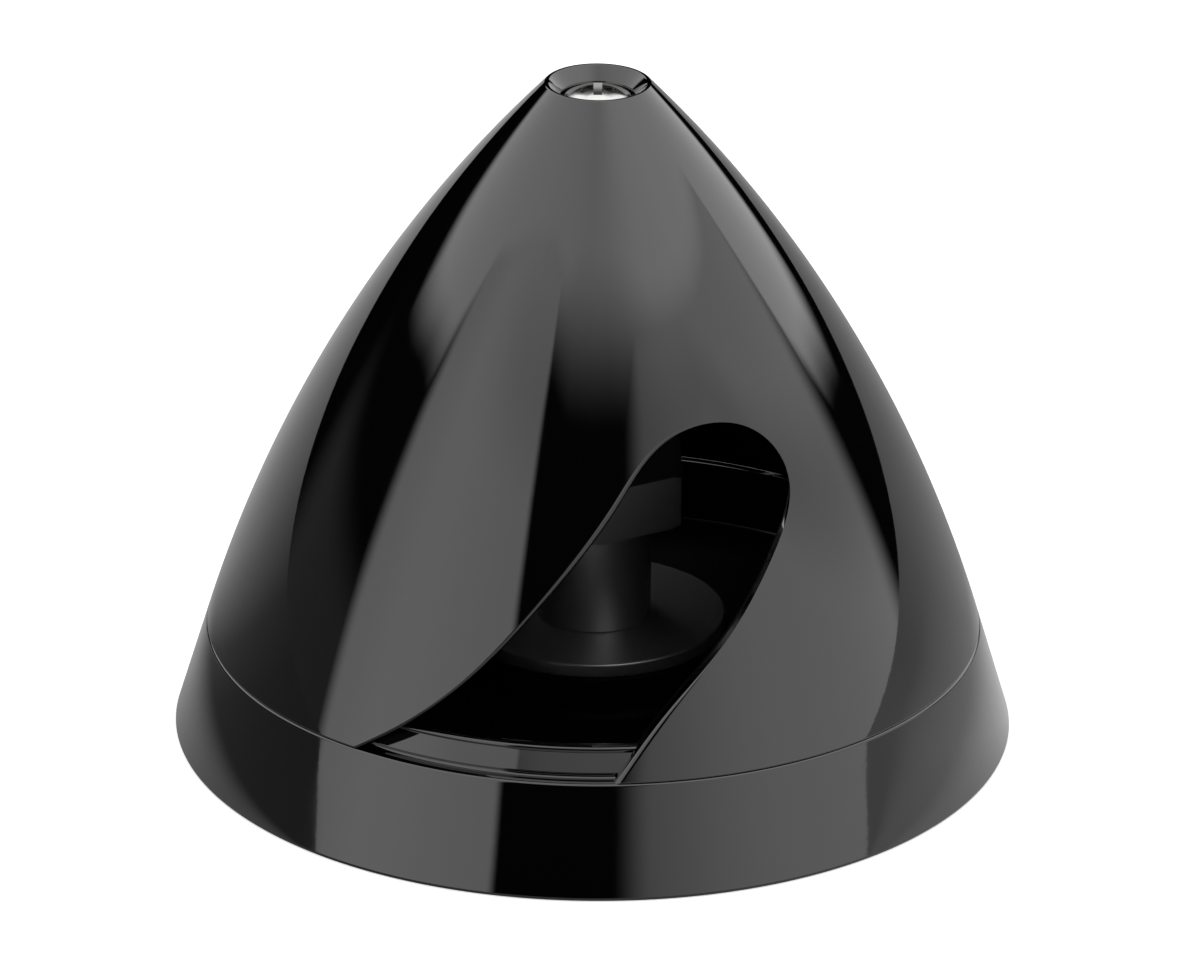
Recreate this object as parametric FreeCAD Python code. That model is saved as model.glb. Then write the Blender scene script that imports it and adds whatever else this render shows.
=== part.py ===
import FreeCAD, Part
import math
import os

from FreeCAD import Vector

# A two-blade propeller spinner for a small model aircraft. A moulded cone is drawn down on a moulded
# backplate by one long screw through the nose, which threads into the hexagonal adapter nut on the
# engine's crankshaft. Millimetres and degrees. The origin is the centre of the rear rim and +Z runs to
# the nose. The two blade openings face -Y and +Y. (radius, height) pairs are turned about the Z axis.

os.makedirs("parts", exist_ok=True)

# Outer form: a straight rim band, then an ogive that leaves the band without a kink and ends at the nose rim
base_diameter = 69.85
band_height = 9.1
band_lean = 16.9
nose_height = 56.75

# Cone
cone_wall = 1.8
lip_thickness = 1.0
lip_depth = 2.5
nose_lip = 0.25
dish_flare = 1.05
dish_depth = 1.15
seat_thickness = 2.6
boss_radius = 4.0
boss_length = 6.0
boss_bevel = 0.4
opening_round = 0.45

# Backplate
band_wall = 2.0
seam_bevel = 0.12
rim_bevel = 0.25
ledge_width = 1.27
spigot_height = 2.15
spigot_step = 0.4
spigot_lead_in = 1.15
spigot_width = 0.9
spigot_round = 0.2
web_rear = 2.8
web_thickness = 2.2
hub_radius = 11.2
hub_front = 8.6
hub_rear = 0.4
hub_bevel = 0.3
root_bevel = 1.0
rib_count = 8
rib_width = 1.6
rib_rear = 0.8
hub_bore_radius = 4.75

# Shaft bushing, prop washer and adapter nut, for a crankshaft with a 1/4-28 thread
shaft_radius = 3.175
shaft_clearance = 0.035
bushing_clearance = 0.02
bushing_bevel = 0.3
washer_radius = 11.0
washer_thickness = 1.2
washer_bevel = 0.2
nut_flats = 14.29
nut_height = 14.0
nut_corner_round = 0.35
nut_bevel = 0.35
nut_collar_radius = 4.76
nut_collar_height = 9.4
shaft_thread_radius = 2.75
shaft_thread_depth = 5.6

# Nose screw, a cross-recessed pan head with a 4-40 thread shown plain
screw_radius = 1.42
screw_engagement = 3.65
screw_tip_bevel = 0.3
thread_clearance = 0.02
screw_hole_clearance = 0.28
head_radius = 2.75
head_side = 1.25
head_crown_radius = 5.0
head_sunk = 1.2
head_clearance = 0.25
recess_span = 3.0
recess_floor_span = 1.1
recess_width = 0.85
recess_depth = 1.45

# Blade opening seen from the front, as (sideways, above the seam) from its right foot over the top
opening_outline = [
    (1.75, 0.0),
    (5.9, 5.25),
    (10.75, 10.25),
    (14.2, 15.3),
    (15.7, 19.75),
    (13.6, 23.85),
    (10.0, 25.6),
    (5.5, 24.6),
    (1.95, 20.4),
    (-3.7, 13.6),
    (-9.2, 7.75),
    (-14.1, 3.5),
    (-18.9, 0.0),
]

OVERRUN = 1.0
LEAN = math.radians(band_lean)

base_radius = base_diameter / 2
seam_radius = base_radius - band_height * math.tan(LEAN)
counterbore_radius = head_radius + head_clearance
dish_radius = counterbore_radius + dish_flare
nose_radius = dish_radius + nose_lip
seat_height = nose_height - head_sunk - head_side
ceiling_height = seat_height - seat_thickness
boss_end = ceiling_height - boss_length
screw_hole_radius = screw_radius + screw_hole_clearance
washer_top = hub_front + washer_thickness
nut_top = washer_top + nut_height
screw_tip = nut_top - screw_engagement
lip_top = band_height + lip_depth
spigot_top = band_height + spigot_height
web_front = web_rear + web_thickness

# The ogive's arc touches the band's slope at the seam and passes through the nose rim
chord = Vector(nose_radius - seam_radius, 0, nose_height - band_height)
outward = Vector(math.cos(LEAN), 0, math.sin(LEAN))
ogive_radius = -chord.dot(chord) / (2 * chord.dot(outward))
ogive_centre = Vector(seam_radius, 0, band_height) - outward * ogive_radius


def band_radius(height, depth=0.0):
    """Radius of the band's slope at a height, or of a surface that lies `depth` under it."""
    return base_radius - height * math.tan(LEAN) - depth / math.cos(LEAN)


def ogive_point(height, depth=0.0):
    """The point at a height on the ogive, or on an arc that lies `depth` under it."""
    reach = ogive_radius - depth
    rise = height - ogive_centre.z
    return Vector(ogive_centre.x + math.sqrt(reach**2 - rise**2), 0, height)


def ogive_arc(low, high, depth=0.0):
    """The stretch of the ogive between two heights, as an edge."""
    points = [ogive_point(height, depth) for height in (low, (low + high) / 2, high)]
    return Part.Arc(*points).toShape()


def at(radius, height):
    return Vector(radius, 0, height)


def straight_run(points):
    return [Part.makeLine(a, b) for a, b in zip(points, points[1:])]


def turned(edges):
    """The solid that a closed outline of edges makes when it turns about the Z axis."""
    face = Part.Face(Part.Wire(edges))
    return face.revolve(Vector(0, 0, 0), Vector(0, 0, 1), 360)


def turned_polygon(points):
    return turned(straight_run(points + points[:1]))


def opening_cutter():
    """A prism along Y through the front wall, with the outline of the blade opening."""
    below = band_height - OVERRUN
    side = [Vector(x, 0, band_height + rise) for x, rise in opening_outline]
    curve = Part.BSplineCurve()
    curve.interpolate(side)
    corners = [side[-1], Vector(side[-1].x, 0, below), Vector(side[0].x, 0, below), side[0]]
    face = Part.Face(Part.Wire([curve.toShape()] + straight_run(corners)))
    return face.extrude(Vector(0, -base_radius - OVERRUN, 0))


def both_sides(shape):
    """A feature at the front together with its copy half a turn round."""
    copy = shape.copy()
    copy.rotate(Vector(0, 0, 0), Vector(0, 0, 1), 180)
    return [shape, copy]


def opening_edges(shell):
    """The edges where the blade openings break through the ogive: the ends of each are down at the seam."""
    found = []
    for edge in shell.Edges:
        middle = edge.valueAt((edge.FirstParameter + edge.LastParameter) / 2)
        arched = middle.z > lip_top and all(vertex.Z < lip_top for vertex in edge.Vertexes)
        if arched and math.hypot(middle.x, middle.y) > ogive_point(middle.z, cone_wall / 2).x:
            found.append(edge)
    return found


def spinner_cone():
    """Shell with a lip that drops over the spigot, a dished nose and a boss that guides the screw."""
    lip_outer = ogive_point(band_height + seam_bevel)
    lip_inner = ogive_point(band_height, lip_thickness)
    inner_foot = ogive_point(lip_top, cone_wall)
    lip_shoulder = ogive_point(lip_top, lip_thickness)
    ceiling_edge = ogive_point(ceiling_height, cone_wall)
    nose_edge = at(nose_radius, nose_height)
    edges = [ogive_arc(band_height + seam_bevel, nose_height)]
    edges += straight_run(
        [
            nose_edge,
            at(dish_radius, nose_height),
            at(counterbore_radius, nose_height - dish_depth),
            at(counterbore_radius, seat_height),
            at(screw_hole_radius, seat_height),
            at(screw_hole_radius, boss_end + boss_bevel),
            at(screw_hole_radius + boss_bevel, boss_end),
            at(boss_radius, boss_end),
            at(boss_radius, ceiling_height),
            ceiling_edge,
        ]
    )
    edges.append(ogive_arc(lip_top, ceiling_height, cone_wall))
    edges += straight_run([inner_foot, lip_shoulder])
    edges.append(ogive_arc(band_height, lip_top, lip_thickness))
    edges += straight_run([lip_inner, at(seam_radius - seam_bevel, band_height), lip_outer])
    shell = turned(Part.__sortEdges__(edges)).cut(both_sides(opening_cutter()))
    return shell.makeFillet(opening_round, opening_edges(shell))


def backplate():
    """Rim band with a ledge and a bevelled spigot for the cone, and a ribbed web that carries the hub."""
    spigot_root = seam_radius - ledge_width
    spigot_edge = spigot_root - spigot_lead_in
    spigot_inner = spigot_edge - spigot_width
    spigot_foot = spigot_inner + (spigot_top - web_front) * math.tan(LEAN)
    pocket_edge = band_radius(web_rear, band_wall)
    plate = turned_polygon(
        [
            at(base_radius - rim_bevel, 0),
            at(band_radius(rim_bevel), rim_bevel),
            at(band_radius(band_height - seam_bevel), band_height - seam_bevel),
            at(seam_radius - seam_bevel, band_height),
            at(spigot_root, band_height),
            at(spigot_root, band_height + spigot_step),
            at(spigot_edge, spigot_top - spigot_step),
            at(spigot_edge, spigot_top - spigot_round),
            at(spigot_edge - spigot_round, spigot_top),
            at(spigot_inner, spigot_top),
            at(spigot_foot - root_bevel * math.tan(LEAN), web_front + root_bevel),
            at(spigot_foot - root_bevel, web_front),
            at(hub_radius + root_bevel, web_front),
            at(hub_radius, web_front + root_bevel),
            at(hub_radius, hub_front - hub_bevel),
            at(hub_radius - hub_bevel, hub_front),
            at(hub_bore_radius, hub_front),
            at(hub_bore_radius, hub_rear),
            at(hub_radius - hub_bevel, hub_rear),
            at(hub_radius, hub_rear + hub_bevel),
            at(hub_radius, web_rear),
            at(pocket_edge, web_rear),
            at(band_radius(0, band_wall), 0),
        ]
    )
    return plate.fuse(stiffening_ribs())


def stiffening_ribs():
    """Radial ribs behind the web, from inside the hub's wall to inside the band's wall."""
    start = hub_radius - hub_bevel - rib_width / 2
    end = band_radius(web_rear, band_wall) + band_wall / 2
    ribs = []
    for index in range(rib_count):
        rib = Part.makeBox(end - start, rib_width, web_rear - rib_rear + web_thickness / 2)
        rib.translate(Vector(start, -rib_width / 2, rib_rear))
        rib.rotate(Vector(0, 0, 0), Vector(0, 0, 1), (index + 0.5) * 360 / rib_count)
        ribs.append(rib)
    return ribs


def shaft_bushing():
    """Sleeve that fills the hub's bore down to the crankshaft."""
    inner = shaft_radius + shaft_clearance
    outer = hub_bore_radius - bushing_clearance
    return turned_polygon(
        [
            at(inner + bushing_bevel, hub_rear),
            at(outer - bushing_bevel, hub_rear),
            at(outer, hub_rear + bushing_bevel),
            at(outer, hub_front - bushing_bevel),
            at(outer - bushing_bevel, hub_front),
            at(inner + bushing_bevel, hub_front),
            at(inner, hub_front - bushing_bevel),
            at(inner, hub_rear + bushing_bevel),
        ]
    )


def prop_washer():
    inner = shaft_radius + shaft_clearance
    return turned_polygon(
        [
            at(inner, hub_front),
            at(washer_radius, hub_front),
            at(washer_radius, washer_top - washer_bevel),
            at(washer_radius - washer_bevel, washer_top),
            at(inner, washer_top),
        ]
    )


def adapter_nut():
    """Hexagonal nut with a round collar for the propeller's hub, threaded for crankshaft and nose screw."""
    corner = nut_flats / 2 / math.cos(math.pi / 6)
    ring = [Vector(0, -corner, washer_top)]
    for sixth in range(1, 7):
        turn = FreeCAD.Rotation(Vector(0, 0, 1), sixth * 60)
        ring.append(turn.multVec(ring[0]))
    bar = Part.Face(Part.Wire(straight_run(ring))).extrude(Vector(0, 0, nut_height))
    upright = [edge for edge in bar.Edges if edge.BoundBox.ZLength > nut_height / 2]
    bar = bar.makeFillet(nut_corner_round, upright)
    collar_top = washer_top + nut_collar_height
    bevel_rise = nut_bevel * math.tan(math.pi / 6)
    bevelled = turned_polygon(
        [
            at(0, washer_top),
            at(nut_collar_radius, washer_top),
            at(nut_collar_radius, collar_top),
            at(corner - nut_bevel, collar_top),
            at(corner, collar_top + bevel_rise),
            at(corner, nut_top - bevel_rise),
            at(corner - nut_bevel, nut_top),
            at(0, nut_top),
        ]
    )
    bore = Part.makeCylinder(shaft_thread_radius, shaft_thread_depth, Vector(0, 0, washer_top))
    front_hole = Part.makeCylinder(screw_radius + thread_clearance, nut_height, Vector(0, 0, washer_top))
    return bar.common(bevelled).cut([bore, front_hole])


def recess_bar(quarter_turns):
    """One tapered bar of the cross recess."""
    top = seat_height + head_side + head_crown_rise()
    floor = top - recess_depth
    profile = [
        Vector(-recess_span / 2, -recess_width / 2, top),
        Vector(recess_span / 2, -recess_width / 2, top),
        Vector(recess_floor_span / 2, -recess_width / 2, floor),
        Vector(-recess_floor_span / 2, -recess_width / 2, floor),
    ]
    bar = Part.Face(Part.Wire(straight_run(profile + profile[:1]))).extrude(Vector(0, recess_width, 0))
    bar.rotate(Vector(0, 0, 0), Vector(0, 0, 1), 90 * quarter_turns)
    return bar


def head_crown_rise():
    return head_crown_radius - math.sqrt(head_crown_radius**2 - head_radius**2)


def nose_screw():
    """Long screw under a domed head, with its threads shown as a plain shank."""
    side_top = seat_height + head_side
    crown_top = side_top + head_crown_rise()
    crown_centre = crown_top - head_crown_radius
    middle = head_radius / 2
    crown = Part.Arc(
        at(head_radius, side_top),
        at(middle, crown_centre + math.sqrt(head_crown_radius**2 - middle**2)),
        at(0, crown_top),
    ).toShape()
    edges = [crown] + straight_run(
        [
            at(0, crown_top),
            at(0, screw_tip),
            at(screw_radius - screw_tip_bevel, screw_tip),
            at(screw_radius, screw_tip + screw_tip_bevel),
            at(screw_radius, seat_height),
            at(head_radius, seat_height),
            at(head_radius, side_top),
        ]
    )
    return turned(edges).cut([recess_bar(0), recess_bar(1)])


pieces = {
    "spinner_cone": spinner_cone(),
    "backplate": backplate(),
    "shaft_bushing": shaft_bushing(),
    "prop_washer": prop_washer(),
    "adapter_nut": adapter_nut(),
    "nose_screw": nose_screw(),
}
for name, shape in pieces.items():
    solid = shape.removeSplitter()
    solid.exportStep("parts/" + name + ".step")
    print(name, len(solid.Solids), round(solid.Volume, 1), solid.isValid())
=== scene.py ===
import math

import bmesh
import bpy
import numpy as np
from bpy.props import FloatProperty, FloatVectorProperty, PointerProperty
from bpy.types import Operator, Panel, PropertyGroup
from mathutils import Matrix, Vector


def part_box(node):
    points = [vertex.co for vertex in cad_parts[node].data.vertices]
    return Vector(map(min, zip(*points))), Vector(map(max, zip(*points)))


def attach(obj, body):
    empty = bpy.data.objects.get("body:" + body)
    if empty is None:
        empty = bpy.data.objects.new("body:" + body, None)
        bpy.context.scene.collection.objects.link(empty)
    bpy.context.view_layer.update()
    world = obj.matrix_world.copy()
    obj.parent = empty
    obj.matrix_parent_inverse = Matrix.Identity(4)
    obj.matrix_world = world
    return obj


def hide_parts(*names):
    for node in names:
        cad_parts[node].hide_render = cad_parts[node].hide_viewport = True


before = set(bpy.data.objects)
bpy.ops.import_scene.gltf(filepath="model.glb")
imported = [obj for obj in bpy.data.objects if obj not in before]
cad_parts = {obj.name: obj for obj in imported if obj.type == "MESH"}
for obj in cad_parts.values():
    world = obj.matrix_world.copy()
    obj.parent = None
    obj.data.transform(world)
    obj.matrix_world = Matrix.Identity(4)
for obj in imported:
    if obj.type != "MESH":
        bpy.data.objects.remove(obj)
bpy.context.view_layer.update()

bl_info = {
    "name": "Propeller Spinner",
    "version": (1, 0, 0),
    "blender": (4, 5, 0),
    "location": "3D View > Sidebar > Spinner",
    "description": "Makes the pieces of a two-blade propeller spinner and the studio that shows them",
    "category": "Add Mesh",
}

MM = 0.001
SLIDING_GAP = 0.02 * MM
BODY = "root"

# Heights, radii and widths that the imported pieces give
SEAM_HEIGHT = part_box("spinner_cone")[0].z
NOSE_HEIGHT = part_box("spinner_cone")[1].z
SPIGOT_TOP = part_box("backplate")[1].z
HUB_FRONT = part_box("prop_washer")[0].z
WASHER_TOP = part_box("prop_washer")[1].z
WASHER_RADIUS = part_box("prop_washer")[1].x
NUT_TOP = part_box("adapter_nut")[1].z
NUT_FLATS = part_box("adapter_nut")[1].x * 2
SCREW_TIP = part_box("nose_screw")[0].z
SCREW_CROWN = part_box("nose_screw")[1].z
HEAD_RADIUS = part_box("nose_screw")[1].x
BUSHING_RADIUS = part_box("shaft_bushing")[1].x
HUB_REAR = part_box("shaft_bushing")[0].z

# Blade opening seen from the front, from its right foot over the top, in mm:
# the distance sideways, the height above the seam, and the rounding of the outer edge there
OPENING_OUTLINE = (
    (1.75, 0.0, 0.6), (5.9, 5.25, 0.45), (10.75, 10.25, 0.05), (14.2, 15.3, 0.04), (15.7, 19.75, 0.04),
    (13.6, 23.85, 0.04), (10.0, 25.6, 0.05), (5.5, 24.6, 0.30), (1.95, 20.4, 0.50), (-3.7, 13.6, 0.38),
    (-9.2, 7.75, 0.26), (-14.1, 3.5, 0.2), (-18.9, 0.0, 0.2),
)


def length(name, description, millimetres):
    return FloatProperty(name=name, description=description, default=millimetres * MM, min=0, unit="LENGTH")


def colour(name, description, value):
    return FloatVectorProperty(name=name, description=description, default=value, min=0, max=1, size=3,
                               subtype="COLOR_GAMMA")


class SpinnerMouldings(PropertyGroup):
    base_diameter: length("Base diameter", "Across the sharp edge of the rear rim", 69.85)
    band_lean: FloatProperty(name="Band lean", description="Slope of the rim band from the shaft's direction",
                             default=math.radians(16.9), subtype="ANGLE")
    cone_wall: length("Cone wall", "Thickness of the cone's shell", 1.8)
    lip_thickness: length("Lip thickness", "Thickness of the cone where it drops over the spigot", 1.0)
    lip_depth: length("Lip depth", "Height of the thin lip above the seam", 2.5)
    opening_round: FloatProperty(name="Opening edges", default=1.0, min=0.1, max=1.5,
                                 description="Share of the usual rounding of the openings' edges")
    dish_radius: length("Dish radius", "Radius of the dish in the nose at its brim", 4.05)
    nose_lip: length("Nose rim", "Width of the flat ring round the dish", 0.25)
    dish_depth: length("Dish depth", "Height of the dish's flared part", 1.15)
    counterbore_radius: length("Counterbore radius", "Radius of the hole that holds the screw's head", 3.0)
    head_seat: length("Head seat depth", "From the nose down to the face under the screw's head", 2.45)
    seat_thickness: length("Seat thickness", "Material under the screw's head", 2.6)
    boss_radius: length("Boss radius", "Radius of the boss that guides the screw", 4.0)
    boss_length: length("Boss length", "How far that boss reaches down inside the cone", 6.0)
    screw_hole_radius: length("Screw hole radius", "Clearance hole for the nose screw", 1.7)
    seam_round: length("Seam edge radius", "Rounding of the two edges that meet at the seam", 0.12)
    rim_round: length("Rim edge radius", "Rounding of the rear rim's outer edge", 0.25)
    band_wall: length("Band wall", "Thickness of the rim band", 2.0)
    ledge_width: length("Ledge width", "Width of the ledge that the cone's lip stands on", 1.27)
    spigot_step: length("Spigot step", "Height of the upright steps below and above the spigot's bevel", 0.4)
    spigot_bevel: length("Spigot bevel", "How far the spigot's wide bevel leads in", 0.98)
    spigot_width: length("Spigot width", "Width of the spigot's top face", 1.07)
    web_rear: length("Web rear", "Height of the web's rear face", 2.8)
    web_thickness: length("Web thickness", "Thickness of the web", 2.2)
    hub_radius: length("Hub radius", "Radius of the backplate's hub", 11.2)
    hub_bore_radius: length("Hub bore radius", "Radius of the hub's bore for the bushing", 4.75)
    rib_width: length("Rib width", "Width of each rib behind the web", 1.6)
    rib_rear: length("Rib rear", "Height of the ribs' rear edge", 0.8)


class SpinnerHardware(PropertyGroup):
    shaft_hole_radius: length("Shaft hole radius", "Bore of the bushing and the washer", 3.21)
    collar_radius: length("Collar radius", "Round collar of the nut, which the propeller's hub sits on", 4.76)
    collar_height: length("Collar height", "Height of that collar", 9.4)
    corner_round: length("Corner radius", "Rounding of the nut's upright corners", 0.35)
    shaft_thread_radius: length("Shaft thread radius", "Minor radius of the nut's rear thread", 2.75)
    shaft_thread_depth: length("Shaft thread depth", "Depth of the nut's rear thread", 5.6)
    screw_radius: length("Screw radius", "Major radius of the nose screw's thread", 1.42)
    head_side: length("Head side", "Height of the straight side of the screw's head", 1.25)
    crown_radius: length("Crown radius", "Radius of the head's dome", 5.0)
    recess_span: length("Recess span", "Length of the cross recess at the top", 3.0)
    recess_floor: length("Recess floor", "Length of the cross recess at its floor", 1.1)
    recess_width: length("Recess width", "Width of each slot of the recess", 0.7)
    recess_depth: length("Recess depth", "Depth of the recess", 1.45)


class SpinnerFinishes(PropertyGroup):
    plastic: colour("Moulded plastic", "Plastic of the cone and the backplate", (0.0015, 0.0015, 0.0016))
    screw: colour("Screw plating", "Bright plating of the nose screw", (0.82, 0.82, 0.80))
    steel: colour("Steel", "Turned steel of the adapter nut and the washer", (0.50, 0.50, 0.51))
    nylon: colour("Natural nylon", "Plain moulded nylon of the bushing", (0.72, 0.70, 0.64))


class SpinnerStudio(PropertyGroup):
    floor: colour("Floor", "Colour of the pale floor", (0.82, 0.82, 0.82))
    camera_distance: FloatProperty(name="Camera distance", description="From the centre of the rear rim",
                                   default=698.5 * MM, unit="LENGTH")
    camera_elevation: FloatProperty(name="Camera elevation", description="Above the floor, at the front",
                                    default=math.radians(25.262), subtype="ANGLE")
    camera_roll: FloatProperty(name="Camera roll", description="Tilt of the horizon",
                               default=math.radians(0.49), subtype="ANGLE")


TURN_STEPS = 256
FINE_STEPS = 96
ROUND_STEPS = 4


def clear_selection():
    if bpy.context.object and bpy.context.object.mode != "OBJECT":
        bpy.ops.object.mode_set(mode="OBJECT")
    bpy.ops.object.select_all(action="DESELECT")


def make_active(piece):
    clear_selection()
    piece.select_set(True)
    bpy.context.view_layer.objects.active = piece


def edit_all(piece):
    make_active(piece)
    bpy.ops.object.mode_set(mode="EDIT")
    bpy.ops.mesh.select_all(action="SELECT")


def close_and_face_outward(piece):
    edit_all(piece)
    bpy.ops.mesh.remove_doubles(threshold=0.2e-6)
    bpy.ops.mesh.normals_make_consistent(inside=False)
    bpy.ops.object.mode_set(mode="OBJECT")


def apply_modifier(piece, modifier):
    make_active(piece)
    bpy.ops.object.modifier_apply(modifier=modifier.name)


def carve(piece, tool, operation="DIFFERENCE"):
    """Cuts, joins or trims a piece with a tool mesh, which is used up."""
    modifier = piece.modifiers.new("carve", "BOOLEAN")
    modifier.operation = operation
    modifier.solver = "EXACT"
    modifier.object = tool
    apply_modifier(piece, modifier)
    bpy.data.objects.remove(tool, do_unlink=True)


def rounded(corners):
    """Points of a closed outline of (radius, height, rounding) corners, with an arc at each rounding."""
    points = []
    for index, (radius, height, rounding) in enumerate(corners):
        here = Vector((radius, height))
        if not rounding:
            points.append(here)
            continue
        back = (Vector(corners[index - 1][:2]) - here).normalized()
        ahead = (Vector(corners[(index + 1) % len(corners)][:2]) - here).normalized()
        half = back.angle(ahead) / 2
        centre = here + (back + ahead).normalized() * rounding / math.sin(half)
        first = here + back * rounding / math.tan(half) - centre
        last = here + ahead * rounding / math.tan(half) - centre
        swing = math.atan2(first.x * last.y - first.y * last.x, first.dot(last))
        for step in range(ROUND_STEPS + 1):
            points.append(centre + Matrix.Rotation(swing * step / ROUND_STEPS, 2) @ first)
    return points


def turned(name, points, steps=TURN_STEPS, closed=True):
    """Draws an outline of (radius, height) points and spins it about the shaft's axis."""
    clear_selection()
    bpy.ops.mesh.primitive_plane_add(size=MM)
    piece = bpy.context.object
    piece.name = name
    edit_all(piece)
    bpy.ops.mesh.merge(type="CENTER")
    bpy.ops.transform.translate(value=(points[0][0], 0, points[0][1]))
    for before, after in zip(points, points[1:]):
        move = (after[0] - before[0], 0, after[1] - before[1])
        bpy.ops.mesh.extrude_vertices_move(TRANSFORM_OT_translate={"value": move})
    if closed:
        mesh = bmesh.from_edit_mesh(piece.data)
        mesh.verts.ensure_lookup_table()
        mesh.verts[0].select_set(True)
        mesh.verts[-1].select_set(True)
        bmesh.update_edit_mesh(piece.data)
        bpy.ops.mesh.edge_face_add()
    bpy.ops.mesh.select_all(action="SELECT")
    bpy.ops.mesh.spin(steps=steps, angle=math.tau, center=(0, 0, 0), axis=(0, 0, 1))
    close_and_face_outward(piece)
    return piece


def lofted(name, rings):
    """A closed solid through rings of points: a cylinder with one upright for each point of a ring."""
    clear_selection()
    count = len(rings[0])
    bpy.ops.mesh.primitive_cylinder_add(vertices=count, radius=1, depth=1, end_fill_type="NGON")
    solid = bpy.context.object
    solid.name = name
    bpy.ops.object.mode_set(mode="EDIT")
    bpy.ops.mesh.select_all(action="DESELECT")
    mesh = bmesh.from_edit_mesh(solid.data)
    for edge in mesh.edges:
        edge.select_set(abs(edge.verts[0].co.z - edge.verts[1].co.z) > 0.5)
    bmesh.update_edit_mesh(solid.data)
    bpy.ops.mesh.subdivide(number_cuts=len(rings) - 2)
    bpy.ops.object.mode_set(mode="OBJECT")
    for vertex in solid.data.vertices:
        turn = round(math.atan2(vertex.co.x, vertex.co.y) / math.tau * count) % count
        ring = round((vertex.co.z + 0.5) * (len(rings) - 1))
        vertex.co = rings[ring][turn]
    close_and_face_outward(solid)
    return solid


def smooth_through(knots, count):
    """Evenly spread points on the cubic curve through the knots that runs out straight at both ends."""
    knots = np.array(knots, float)
    gaps = np.linalg.norm(np.diff(knots, axis=0), axis=1)
    along = np.concatenate([[0], np.cumsum(gaps)])
    system = np.eye(len(knots))
    turns = np.zeros_like(knots)
    for k in range(1, len(knots) - 1):
        system[k, k - 1:k + 2] = gaps[k - 1] / 6, (gaps[k - 1] + gaps[k]) / 3, gaps[k] / 6
        turns[k] = (knots[k + 1] - knots[k]) / gaps[k] - (knots[k] - knots[k - 1]) / gaps[k - 1]
    bend = np.linalg.solve(system, turns)
    where = np.linspace(0, along[-1], count)
    span = np.clip(np.searchsorted(along, where, side="right") - 1, 0, len(gaps) - 1)
    ahead = ((where - along[span]) / gaps[span])[:, None]
    behind = 1 - ahead
    curved = (behind**3 - behind) * bend[span] + (ahead**3 - ahead) * bend[span + 1]
    return behind * knots[span] + ahead * knots[span + 1] + curved * (gaps[span]**2)[:, None] / 6


class Ogive:
    """The spinner's outer form: it leaves the band without a kink and ends at the nose rim."""

    def __init__(self, sizes):
        self.lean = sizes.band_lean
        self.base_radius = sizes.base_diameter / 2
        self.seam_radius = self.base_radius - SEAM_HEIGHT * math.tan(self.lean)
        self.nose_radius = sizes.dish_radius + sizes.nose_lip
        chord = Vector((self.nose_radius - self.seam_radius, NOSE_HEIGHT - SEAM_HEIGHT))
        outward = Vector((math.cos(self.lean), math.sin(self.lean)))
        self.reach = -chord.length_squared / (2 * chord.dot(outward))
        self.centre = Vector((self.seam_radius, SEAM_HEIGHT)) - outward * self.reach

    def band_radius(self, height, depth=0.0):
        return self.base_radius - height * math.tan(self.lean) - depth / math.cos(self.lean)

    def radius(self, height, depth=0.0):
        return self.centre.x + math.sqrt((self.reach - depth) ** 2 - (height - self.centre.y) ** 2)

    def run(self, low, high, count, depth=0.0):
        heights = [low + (high - low) * k / count for k in range(count + 1)]
        return [(self.radius(height, depth), height, 0) for height in heights]

    def front_point(self, x, z):
        return Vector((x, -math.sqrt(max(self.radius(z) ** 2 - x * x, 0)), z))

    def normal(self, point):
        across = math.hypot(point.x, point.y)
        slope = Vector((across - self.centre.x, point.z - self.centre.y)).normalized()
        return Vector((slope.x * point.x / across, slope.x * point.y / across, slope.y))


OUTLINE_STEPS = 150
FILLET_STEPS = 6


def opening_tool(ogive, rounding_share):
    """A solid that cuts one blade opening straight through the front wall and rounds its outer edge."""
    deep = -6 * MM
    least_round = 0.04 * MM
    outside = -ogive.base_radius - 2 * MM
    knots = [(x * MM, SEAM_HEIGHT + rise * MM, rounding * MM) for x, rise, rounding in OPENING_OUTLINE]
    flat = smooth_through(knots, OUTLINE_STEPS)
    overrun = 0.6 * MM
    first = flat[0] + (flat[0] - flat[1]) / np.linalg.norm(flat[0] - flat[1]) * overrun
    last = flat[-1] + (flat[-1] - flat[-2]) / np.linalg.norm(flat[-1] - flat[-2]) * overrun
    lead_out = [last - (0.2 * MM, 1.2 * MM, 0), last - (0.3 * MM, 2.4 * MM, 0)]
    flat = np.vstack([first, flat, last, *lead_out])
    edge = [ogive.front_point(x, z) for x, z, _ in flat]
    inward = Vector((0, 1, 0))
    columns = []
    for index, point in enumerate(edge):
        along = edge[min(index + 1, len(edge) - 1)] - edge[max(index - 1, 0)]
        normal = ogive.normal(point)
        outward = along.cross(normal).normalized()
        if outward.dot(Vector((along.z, 0, -along.x))) < 0:
            outward = -outward
        edge_round = max(flat[index][2] * rounding_share, least_round)
        half = inward.angle(outward) / 2
        reach = edge_round / math.tan(half)
        centre = point + (inward + outward).normalized() * edge_round / math.sin(half)
        low = (point + inward * reach - centre) / edge_round
        high = (point + outward * reach - centre) / edge_round
        swing = math.pi - 2 * half
        column = [Vector((point.x, deep, point.z))]
        for step in range(FILLET_STEPS + 1):
            share = step / FILLET_STEPS
            blend = (low * math.sin((1 - share) * swing) + high * math.sin(share * swing)) / math.sin(swing)
            column.append(centre + blend * edge_round)
        lifted = point + outward * (reach + 0.4 * MM) + normal * 0.9 * MM
        column += [lifted, Vector((lifted.x, outside, lifted.z))]
        columns.append(column)
    return lofted("opening_tool", list(zip(*columns)))


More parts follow.
